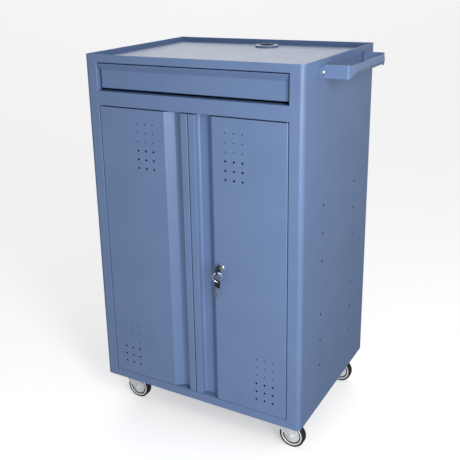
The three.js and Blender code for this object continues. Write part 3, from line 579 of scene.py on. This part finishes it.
# ---- doors ----
def vent_holes(s, first_x, first_z):
    holes = []
    for row in range(6):
        for column in range(3):
            radius = VENT_SMALL_R if row < 3 else VENT_LARGE_R
            x, z = s * (first_x + VENT_PITCH * column), first_z - VENT_PITCH * row
            holes.append(punched("y", radius, VENT_FLARE, FRONT, 1, x, z, 20))
    return holes


def door(s):
    side = side_name(s)
    back = FRONT + DOOR_DEPTH
    inner_edge, stile_edge, channel_edge = 1.25, 22.3, 51.2
    panel_edge, hinge_edge, hinge_fold = 73.4, 286.7, 272.7
    path = [(inner_edge, back), (inner_edge, FRONT), (stile_edge, FRONT), (stile_edge, back),
            (channel_edge, back), (panel_edge, FRONT), (hinge_edge, FRONT), (hinge_edge, back + 1),
            (hinge_fold, back + 1)]
    section = flip(bent(path, [2, 2, 7, 3, 4, 2.5, 2], 1, T, 8), s)
    # plates that close the door's folds at the top and bottom
    panel_plate = flip([(74.2, FRONT + 0.6), (285.1, FRONT + 0.6), (286.1, back), (52.8, back)], s)
    stile_plate = flip([(1.85, FRONT + 0.6), (21.7, FRONT + 0.6), (21.7, back - 8), (1.85, back - 8)], s)
    joins = [prism(plate, "z", z, z + T) for z in (DOOR_TOP - T, DOOR_BOTTOM)
             for plate in (panel_plate, stile_plate)]
    top, bottom = (DOOR_TOP - 4, DOOR_TOP + 2), (DOOR_BOTTOM - 2, DOOR_BOTTOM + 4)
    cuts = [hole for first in VENT_GRIDS for hole in vent_holes(s, *first)]
    cuts += [pivot(s, *top, PIN_HOLE_R), pivot(s, *bottom, PIN_HOLE_R)]
    if s > 0:
        cuts += [rod("y", LOCK_HOLE_R, FRONT - 1, FRONT + 3, LOCK_X, LOCK_Z, 32),
                 rod_hole(TOP_ROD_X, *top, 0.5), rod_hole(LOW_ROD_X, *bottom, 0.5)]
    painted(f"door_{side}", prism(section, "z", DOOR_BOTTOM, DOOR_TOP), f"{side}_door", f"{side}_door",
            joins=joins, cuts=cuts)
    for end, z0, z1 in (("top", DOOR_TOP - 9, 866), ("bottom", FLOOR_Z - 6, DOOR_BOTTOM + 9)):
        piece(f"pin_{side}_{end}", pivot(s, z0, z1, PIN_R), "cabinet", [f"pivot_pin_{side}_{end}"],
              bare_steel, "steel", bevel=0.4)


door(-1)
door(1)


# ---- lock and keys ----
def lock():
    def turned(profile, steps=48, closed=False):
        return lathe([(r, FRONT + d) for r, d in profile], "y", LOCK_X, LOCK_Z, steps, closed)

    body = [(5.7, 10), (5.7, -4.4), (6.3, -5), (8.6, -5), (9.5, -4.5), (10, -3.6), (10, -0.3), (8, -0.3),
            (8, 10)]
    piece("lock_case", turned(body, closed=True), "right_door", ["lock_body"], lock_chrome, "chrome",
          sharp=50)
    nut = prism(circle(13.2, LOCK_X, LOCK_Z, 6), "y", FRONT + 1.5, FRONT + 4.5)
    piece("lock_ring_nut", nut, "right_door", ["lock_nut"], zinc, "zinc",
          cuts=[rod("y", LOCK_HOLE_R, FRONT, FRONT + 6, LOCK_X, LOCK_Z, 32)], bevel=0.3)
    plug = [(0, -4.6), (4.9, -4.6), (5.4, -4.2), (5.4, 12.6), (3.5, 12.6), (3.5, 17.5), (0, 17.5)]
    piece("lock_core", turned(plug), "lock_turn", ["lock_plug"], lock_chrome, "chrome", sharp=50,
          cuts=[block(LOCK_X - 1.3, LOCK_X + 1.3, FRONT - 6, FRONT + 9, LOCK_Z - 3.8, LOCK_Z + 3.8)])

    teeth, root, tip, half = 12, 8.5, 10.6, 0.8
    outline = []
    for k in range(teeth):
        middle = 2 * math.pi * k / teeth
        for radius, sweep in ((root, -0.14), (tip, -half / tip), (tip, half / tip), (root, 0.14)):
            angle = middle + sweep
            outline.append((LOCK_X + radius * math.cos(angle), LOCK_Z + radius * math.sin(angle)))
    piece("pinion", prism(outline, "y", FRONT + 13, FRONT + 17), "lock_turn", ["lock_pinion"], zinc, "zinc",
          cuts=[rod("y", 3.8, FRONT + 12, FRONT + 18, LOCK_X, LOCK_Z, 24)], bevel=0.15)

    for name, xs, z0, z1, s, first in (
        ("top", TOP_ROD_X, LOCK_Z - 25.5, DOOR_TOP - 2.7, -1, LOCK_Z - 22.5),
        ("bottom", LOW_ROD_X, DOOR_BOTTOM + 2.8, LOCK_Z + 25.5, 1, LOCK_Z - 2.5),
    ):
        edge = xs[0] if s > 0 else xs[1]
        rack = [block(edge - s * 2, edge + s * 0.5, *ROD_Y, z - 0.9, z + 0.9)
                for z in (first + RACK_PITCH * k for k in range(RACK_TEETH))]
        piece(f"rod_{name}", block(*xs, *ROD_Y, z0, z1), f"rod_{name}", [f"lock_rod_{name}"], zinc, "zinc",
              joins=[combine(*rack)], bevel=0.3)


lock()

KEY_FRONT = FRONT - 31
BOW_BACK = FRONT - 8
RING_Y = FRONT - 24.2
RING_TOP_Z = LOCK_Z - 6.9
RING_R = 12.75
RING_TURN = 25  # degrees from the cabinet's front, as is SPARE_TURN
SPARE_TURN = 65
COIL_HALF = (1.45, 0.64)
COIL_SHIFT = 0.66
KEY_CUTS = (0.9, 0.2, 1.3, 0.5, 1.6, 0.8)


def turn_about_hole(solid, degrees):
    """A solid drawn about the vertical line x = y = 0, put under the bow's hole and turned."""
    c, s = math.cos(math.radians(degrees)), math.sin(math.radians(degrees))
    points = [(LOCK_X + x * c - y * s, RING_Y + x * s + y * c, z) for x, y, z in solid[0]]
    return points, solid[1]


def flat_coil(radius, z, shift, steps=72, sides=16):
    """One turn of flat spring wire with rounded corners, in the plane of x and z, moved sideways by shift."""
    deep, thick = COIL_HALF
    points, faces = [], []
    for k in range(steps):
        angle = 2 * math.pi * k / steps
        for j in range(sides):
            turn = 2 * math.pi * (j + 0.5) / sides
            c, d = (math.copysign(math.sqrt(abs(v)), v) for v in (math.cos(turn), math.sin(turn)))
            r = radius + deep * c
            points.append((r * math.sin(angle), thick * d + shift, z + r * math.cos(angle)))
    for k in range(steps):
        for j in range(sides):
            n, m = (k + 1) % steps, (j + 1) % sides
            faces.append((k * sides + j, k * sides + m, n * sides + m, n * sides + j))
    return points, faces


def keys():
    half, neck_half = 4.2, 3.4
    neck = BOW_BACK + 2.4
    shank = [(BOW_BACK - 5, LOCK_Z - half), (neck, LOCK_Z - half), (neck, LOCK_Z - neck_half),
             (FRONT + 8.5, LOCK_Z - neck_half), (FRONT + 8.5, LOCK_Z + neck_half), (neck, LOCK_Z + neck_half),
             (neck, LOCK_Z + half), (BOW_BACK - 5, LOCK_Z + half)]
    piece("key_shank", prism(shank, "x", LOCK_X - 1, LOCK_X + 1), "lock_turn", ["key_blade"], key_steel,
          "steel", bevel=0.2)
    bow = [(KEY_FRONT + a, LOCK_Z + b) for a, b in rounded(0, 23, -11, 11, 4, 8)]
    # a shallow panel is sunk into each face of the bow
    y0, y1, z0, z1 = RING_Y + 7.6, RING_Y + 12, LOCK_Z - 5, LOCK_Z + 5
    recess = [(y0, z0), (y1, z0), (y1, z1), (y0, z1)]
    piece("key_head", prism(bow, "x", LOCK_X - 1.75, LOCK_X + 1.75), "lock_turn", ["key_bow"], black_plastic,
          "black_plastic",
          cuts=[rod("x", 4.2, LOCK_X - 4, LOCK_X + 4, RING_Y, RING_TOP_Z + 1.9, 32),
                block(LOCK_X - 1.3, LOCK_X + 1.3, BOW_BACK - 5.3, BOW_BACK + 2, LOCK_Z - 4.5, LOCK_Z + 4.5),
                prism(recess, "x", LOCK_X + 1.4, LOCK_X + 3), prism(recess, "x", LOCK_X - 3, LOCK_X - 1.4)],
          bevel=0.6, bevel_steps=3)

    ring_z = RING_TOP_Z - RING_R
    coils = [turn_about_hole(flat_coil(RING_R, ring_z, shift), RING_TURN)
             for shift in (-COIL_SHIFT, COIL_SHIFT)]
    piece("split_ring", coils[0], "ring", ["key_ring"], chrome, "steel", adds=[coils[1]], sharp=40)

    hole_z = RING_TOP_Z - 2 * RING_R - 2.4
    top = hole_z + 7.6
    low = top - 22
    tip = LOCK_Z - 90
    head = prism([(b, top - a) for a, b in rounded(0, 22, -10, 10, 4, 8)], "x", -1.75, 1.75)
    head_cuts = [rod("x", 5, -4, 4, 0, hole_z, 32), block(-1.3, 1.3, -4.8, 4.8, low - 2, low + 5.3)]
    piece("spare_head", turn_about_hole(head, SPARE_TURN), "spare_key", ["spare_key_bow"], black_plastic,
          "black_plastic", cuts=[turn_about_hole(c, SPARE_TURN) for c in head_cuts], bevel=0.6, bevel_steps=3)
    blade_half = 4.5
    bits = [(blade_half - d, tip + 18 + (low - tip - 22) * k / 5) for k, d in enumerate(KEY_CUTS)]
    blade = [(-blade_half, low + 5), (-blade_half, tip + 18), (-2.5, tip + 4), (0, tip), (2.5, tip + 5),
             *bits, (blade_half, low - 1.5), (blade_half, low + 5)]
    groove = block(0.65, 1.4, -2.2, -0.8, tip + 9, low + 2)
    piece("spare_blade", turn_about_hole(prism(blade, "x", -1, 1), SPARE_TURN), "spare_key",
          ["spare_key_blade"], key_steel, "steel", cuts=[turn_about_hole(groove, SPARE_TURN)], bevel=0.2)


keys()


# ---- cable grommet ----
def grommet():
    gx, gy = GROMMET_AT
    top = TRAY_Z + GAP + 5
    seat = TRAY_Z + 2.6
    foot = TRAY_Z + GAP
    ring = [(25, seat), (25, top - 0.8), (25.3, top - 0.25), (26, top), (30.8, top), (32.4, top - 0.5),
            (33.7, top - 1.5), (34.3, top - 2.6), (34.5, top - 3.6), (34.5, foot), (29.7, foot),
            (29.7, TRAY_Z - 18), (27.5, TRAY_Z - 18), (27.5, seat - 2), (22.5, seat - 2), (22.5, seat)]
    piece("grommet_collar", lathe(ring, "z", gx, gy, 72, closed=True), "cabinet", ["grommet_ring"],
          grommet_metal, "grommet_metal", sharp=50)
    # the cap leaves most of the opening free for a cable
    low = seat + GAP
    opening = [(gx + a, gy + b) for a, b in circle(21.5, steps=72) if a < 2]
    opening.sort(key=lambda p: math.atan2(p[1] - gy, -(p[0] - gx)))
    piece("grommet_lid", rod("z", 24.7, low, low + 1.6, gx, gy, 72), "grommet_cap", ["grommet_cap"],
          grommet_metal, "grommet_metal", cuts=[prism(opening, "z", low - 2, low + 4)], bevel=0.3)


grommet()


# ---- push handle ----
def hull(points):
    """The convex solid round some points."""
    bm = bmesh.new()
    for p in points:
        bm.verts.new(p)
    bmesh.ops.convex_hull(bm, input=bm.verts)
    bm.verts.index_update()
    used = [v for v in bm.verts if v.link_faces]
    order = {v: k for k, v in enumerate(used)}
    solid = [tuple(v.co) for v in used], [tuple(order[v] for v in f.verts) for f in bm.faces]
    bm.free()
    return solid


def grip_body(shift, sections):
    """Convex lengths of the grip between the sections given as (y, outline in x and z)."""
    placed = [[(x + shift, y, z) for x, z in outline] for y, outline in sections]
    return [hull(a + b) for a, b in zip(placed, placed[1:])]


def handle():
    face, thick, low, high, reach = HALF_W + GAP, 2, 950, 984, 391
    arms, flange = (-125, 160), 41
    path = [(face, arms[0] - flange), (face, arms[0]), (reach - thick, arms[0]), (reach - thick, arms[1]),
            (face, arms[1]), (face, arms[1] + flange)]
    crease_out, crease_inset, narrower, start = 400, 27, 4.5, 4
    flat = [(reach - thick, low), (reach, low), (reach, high), (reach - thick, high)]
    creased = [(reach - thick, low + narrower), (reach, low + narrower),
               (crease_out - 0.5, HANDLE_BOLT_Z - 0.9), (crease_out - 0.1, HANDLE_BOLT_Z),
               (crease_out - 0.5, HANDLE_BOLT_Z + 0.9),
               (reach, high - narrower), (reach - thick, high - narrower)]
    sections = [(arms[0] + start, flat), (arms[0] + crease_inset, creased), (arms[1] - crease_inset, creased),
                (arms[1] - start, flat)]
    middle = block(reach - 12, reach + 1, arms[0] + start + 0.4, arms[1] - start - 0.4, low - 1, high + 1)
    corners, r = [], 6
    for y, sy in ((arms[0] - flange, -1), (arms[1] + flange, 1)):
        for z, sz in ((low, -1), (high, 1)):
            cy, cz = y - sy * r, z - sz * r
            arc = [(cy + sy * r * math.cos(a), cz + sz * r * math.sin(a))
                   for a in (k * math.pi / 16 for k in range(9))]
            arc += [(y, z + sz * 2), (y + sy * 2, z + sz * 2), (y + sy * 2, z)]
            corners.append(prism(arc, "x", face - 1, face + thick + 1))
    bolt_holes = [rod("x", BOLT_HOLE_R, face - 1, face + thick + 1, y, HANDLE_BOLT_Z) for y in HANDLE_BOLT_Y]
    strip = prism(bent(path, [3.5, 3, 3, 3.5], -1, thick, 8), "z", low, high)
    grip = new_object("grip", grip_body(0, sections)[0])
    for length in grip_body(0, sections)[1:]:
        boolean(grip, length, "UNION")
    for length in grip_body(-1.1 * thick, sections):
        boolean(grip, length, "DIFFERENCE")
    grip_skin = solid_of(grip)
    painted("handle_bar", strip, "cabinet", "push_handle", cuts=[middle] + corners + bolt_holes,
            adds=[grip_skin], bevel=0.25, sharp=24)

    for y, end in zip(HANDLE_BOLT_Y, ("front", "rear")):
        head = face + thick + GAP
        inside = SKIN - GAP
        nut = [(0, inside - 6), (2.9, inside - 6), (2.9, inside - 4.5), (5.5, inside - 4.5), (5.5, inside)]
        domed = [(7, head), (7, head + 0.8), (6.4, head + 2.2), (5.2, head + 3.5), (3.4, head + 4.3),
                 (2.2, head + 4.6), (2.2, head + 3.2), (0, head + 3.2)]
        profile = nut + [(2.9, inside), (2.9, head)] + domed
        piece(f"bolt_{end}", lathe(profile, "x", y, HANDLE_BOLT_Z, 40), "cabinet", [f"handle_bolt_{end}"],
              chrome, "chrome", sharp=50)


handle()


# ---- castors ----
def castor(name, cx, cy):
    wx = cx + CASTOR_TRAIL
    top = -GAP
    fork_top = -7.3
    plate = prism(rounded(cx - 38, cx + 38, cy - 29, cy + 29, 6), "z", top - 2.5, top)
    race = [(0, top - 1), (20, top - 1), (20.3, top - 2.6), (20, top - 3.6), (17.6, top - 6), (17, top - 6.5),
            (5, top - 6.5), (5, fork_top - 5), (9, fork_top - 5), (9, fork_top - 7), (8, fork_top - 8),
            (0, fork_top - 8)]
    head = [(0, top - 2), (5.6, top - 2), (5.6, top - 4.4), (4.9, top - 5.4), (2, top - 6), (0, top - 6)]
    bolts = [lathe(head, "z", cx + sx * 30, cy + sy * 21, 18) for sx in (-1, 1) for sy in (-1, 1)]
    piece(f"mount_{name}", plate, "cabinet", [f"castor_plate_{name}"], zinc, "zinc",
          joins=[lathe(race, "z", cx, cy, 48), combine(*bolts)], bevel=0.25, sharp=40)

    leg = [(wx + 10 * math.cos(a), WHEEL_Z + 10 * math.sin(a))
           for a in (-math.pi + 0.15 + k * (math.pi + 0.1) / 16 for k in range(17))]
    leg += [(wx + 9.6, WHEEL_Z + 12), (cx + 17, fork_top - 6), (cx + 17, fork_top - 0.2),
            (cx - 24, fork_top - 0.2), (cx - 27, fork_top - 14), (cx - 25, WHEEL_Z + 26),
            (cx - 21.5, WHEEL_Z + 17.5), (cx - 16, WHEEL_Z + 9)]
    inner, outer, crown_low, stem_hole_r = 12.5, 14.7, fork_top - 2.6, 5.3
    crown = rounded(cx - 24, cx + 17, cy - outer + 0.05, cy + outer - 0.05, 2)
    cup = [(stem_hole_r, crown_low), (20, crown_low), (20.4, fork_top - 1.4), (19.4, fork_top),
           (stem_hole_r, fork_top)]
    joins = [prism(leg, "y", cy + inner, cy + outer),
             prism(crown, "z", crown_low, fork_top - 0.2),
             lathe(cup, "z", cx, cy, 48, closed=True),
             rod("y", 3.9, cy - 17, cy + 17, wx, WHEEL_Z, 24)]
    # a pressed boss round the axle, a hexagon nut and the axle's end on each side
    boss = [(0, outer - 0.5), (8.6, outer - 0.5), (8.2, outer + 0.8), (0, outer + 0.8)]
    axle_end = [(0, 18), (3.2, 18), (3.0, 19.6), (2.4, 20), (0, 20)]
    for s in (-1, 1):
        joins.append(lathe([(r, cy + s * h) for r, h in boss], "y", wx, WHEEL_Z, 32))
        joins.append(prism(circle(6.6, wx, WHEEL_Z, 6, 0.3), "y", cy + s * outer, cy + s * 18.6))
        joins.append(lathe([(r, cy + s * h) for r, h in axle_end], "y", wx, WHEEL_Z, 20))
    piece(f"fork_{name}", prism(leg, "y", cy - outer, cy - inner), f"swivel_{name}", [f"castor_fork_{name}"],
          zinc, "zinc", joins=joins, cuts=[rod("z", stem_hole_r, fork_top - 4, fork_top + 1, cx, cy, 32)],
          bevel=0.45, sharp=40)

    # the hub: a dished middle with five pockets, a deep ring-shaped recess whose faces carry painted shade,
    # and a bright outer rim
    recess = (23.4, 27.3)
    half = [(4.2, 10.8), (8.5, 10.8), (9.5, 10.2), (11, 9.2), (15, 8.6), (20.5, 9.2), (22.6, 9.2),
            (recess[0], 8.4), (recess[0] + 0.2, 3.2), (recess[1] - 0.2, 3.2), (recess[1], 9.6), (28.2, 10.7),
            (30.6, 10.9), (31.6, 10.2), (31.8, 9.4)]
    profile = [(r, cy + h) for r, h in half] + [(r, cy - h) for r, h in half[::-1]]
    pockets, pocket_count = [], 5
    for s in (-1, 1):
        for k in range(pocket_count):
            a = 2 * math.pi * k / pocket_count + 0.3
            pocket = circle(2.6, wx + 16 * math.cos(a), WHEEL_Z + 16 * math.sin(a), 16)
            pockets.append(prism(pocket, "y", cy + s * 7.6, cy + s * 12))
    hub = piece(f"hub_{name}", lathe(profile, "y", wx, WHEEL_Z, 72, closed=True), f"wheel_{name}",
                [f"castor_hub_{name}"], hub_plastic, "hub_plastic", cuts=pockets, sharp=50)
    hub.data.materials.append(hub_recess_painted_shade)
    hub.data.materials.append(rim_metal)
    # faces deep in the ring-shaped recess take the dark material as painted shade; faces outside it take the
    # bright rim metal
    for polygon in hub.data.polygons:
        x, y, z = (c * 1000 - o for c, o in zip(polygon.center, ORIGIN))
        radius = math.hypot(x - wx, z - WHEEL_Z)
        if radius > recess[0] - 0.1:
            in_recess = radius < recess[1] + 0.1 and abs(y - cy) < 8.4
            polygon.material_index = 1 if in_recess else 2
    tyre_r, groove_r = 37.5, 36.3
    tread = [(32.1, 10.2), (33.4, 11.2), (34.6, 11.4), (36.0, 10.6), (37.0, 9.4), (37.45, 8.0), (tyre_r, 6.4),
             (groove_r, 6.1), (groove_r, 5.1), (tyre_r, 4.8), (tyre_r, 2.0), (groove_r, 1.7), (groove_r, 0.7),
             (tyre_r, 0.4)]
    profile = [(r, cy + h) for r, h in tread] + [(r, cy - h) for r, h in tread[::-1]]
    piece(f"tyre_{name}", lathe(profile, "y", wx, WHEEL_Z, 96, closed=True), f"wheel_{name}",
          [f"castor_tyre_{name}"], tyre_rubber, "tyre", sharp=50)


for castor_end, castor_y in CASTOR_Y.items():
    for castor_s in (-1, 1):
        castor(f"{castor_end}_{side_name(castor_s)}", castor_s * CASTOR_X, castor_y)


# ---- stage, light and camera ----
# broad glows in the sky, each with its direction, how tight it is and its brightness
SKY = (
    ((-0.5, 0.82, 0.25), 6, 1.640),
    ((0, 1, 0.1), 2, 0.212),
    ((0, 0, 1), 2, 0.593),
    ((1, 0, 0), 2, 0.450),
    ((-0.5, -0.8, -0.35), 6, 0.537),
    ((0.3, -0.75, -0.6), 8, 0.246),
)
# place, aim, width, height in metres, power in watts
SOFTBOXES = {
    "light_right": ((1.5, -1.3, 1.3), (0.3, -0.2, 0.8), 0.6, 1.4, 30.4),
    "light_low": ((0.8, -2.2, 0.5), (0.2, 0, 0.3), 1.2, 0.8, 17.2),
}
FLOOR_HALF = 40  # metres
FLOOR_GLOW = 0.42


def add_math(tree, operation, value, amount):
    """A math node fed by value, with amount as its second number."""
    node = tree.nodes.new("ShaderNodeMath")
    node.operation = operation
    node.inputs[1].default_value = amount
    tree.links.new(value, node.inputs[0])
    return node


def studio_sky():
    world = bpy.data.worlds.new("studio")
    bpy.context.scene.world = world
    world.use_nodes = True
    tree = world.node_tree
    background = tree.nodes["Background"]
    background.inputs["Color"].default_value = (1, 1, 1, 1)
    place = tree.nodes.new("ShaderNodeTexCoord").outputs["Generated"]
    total = None
    for direction, power, brightness in SKY:
        facing = tree.nodes.new("ShaderNodeVectorMath")
        facing.operation = "DOT_PRODUCT"
        facing.inputs[1].default_value = Vector(direction).normalized()
        tree.links.new(place, facing.inputs[0])
        glow = add_math(tree, "MAXIMUM", facing.outputs["Value"], 0).outputs["Value"]
        glow = add_math(tree, "POWER", glow, power).outputs["Value"]
        node = add_math(tree, "MULTIPLY_ADD", glow, brightness)
        node.inputs[2].default_value = 0
        if total:
            tree.links.new(total, node.inputs[2])
        total = node.outputs["Value"]
    tree.links.new(total, background.inputs["Strength"])


def softbox(name, location, target, width, height, power):
    data = bpy.data.lights.new(name, "AREA")
    data.shape = "RECTANGLE"
    data.size = width
    data.size_y = height
    data.energy = power
    light = bpy.data.objects.new(name, data)
    light.location = location
    light.rotation_euler = (Vector(target) - Vector(location)).to_track_quat("-Z", "Y").to_euler()
    bpy.context.scene.collection.objects.link(light)


def stage():
    half = FLOOR_HALF
    floor = bpy.data.objects.new("floor", bpy.data.meshes.new("floor"))
    corners = [(-half, -half, 0), (half, -half, 0), (half, half, 0), (-half, half, 0)]
    floor.data.from_pydata(corners, [], [(0, 1, 2, 3)])
    bpy.context.scene.collection.objects.link(floor)
    material, _, shader, _ = material_base("floor_white")
    shader.inputs["Base Color"].default_value = (0.8, 0.8, 0.8, 1)
    shader.inputs["Roughness"].default_value = 0.7
    shader.inputs["Emission Color"].default_value = (1, 1, 1, 1)
    shader.inputs["Emission Strength"].default_value = FLOOR_GLOW
    floor.data.materials.append(material)
    # the floor takes shadows and shows pale, but throws no light or shadow on the cabinet
    floor.visible_diffuse = False
    floor.visible_glossy = False
    floor.visible_shadow = False
    studio_sky()
    for name, box in SOFTBOXES.items():
        softbox(name, *box)


def camera():
    """The viewing angle: position in the body frame in mm, then yaw, pitch and roll in degrees."""
    place = (973.4, -1795.6, 1222.1)
    yaw, pitch, roll = math.radians(30.366), math.radians(17.527), math.radians(-1.422)
    forward = Vector((-math.sin(yaw) * math.cos(pitch), math.cos(yaw) * math.cos(pitch), -math.sin(pitch)))
    right = Vector((math.cos(yaw), math.sin(yaw), 0))
    up = right.cross(forward)
    right_rolled = right * math.cos(roll) + up * math.sin(roll)
    up_rolled = up * math.cos(roll) - right * math.sin(roll)
    data = bpy.data.cameras.new("camera")
    data.sensor_width = 36
    data.lens = 55.636
    data.shift_x = 0.03875
    data.shift_y = -0.08530
    data.clip_end = 60
    view = bpy.data.objects.new("camera", data)
    view.matrix_world = Matrix((
        (right_rolled.x, up_rolled.x, -forward.x, 0), (right_rolled.y, up_rolled.y, -forward.y, 0),
        (right_rolled.z, up_rolled.z, -forward.z, 0), (0, 0, 0, 1)))
    view.location = to_world(place)
    bpy.context.scene.collection.objects.link(view)
    bpy.context.scene.camera = view
    bpy.context.scene.view_settings.view_transform = "Standard"


stage()
camera()
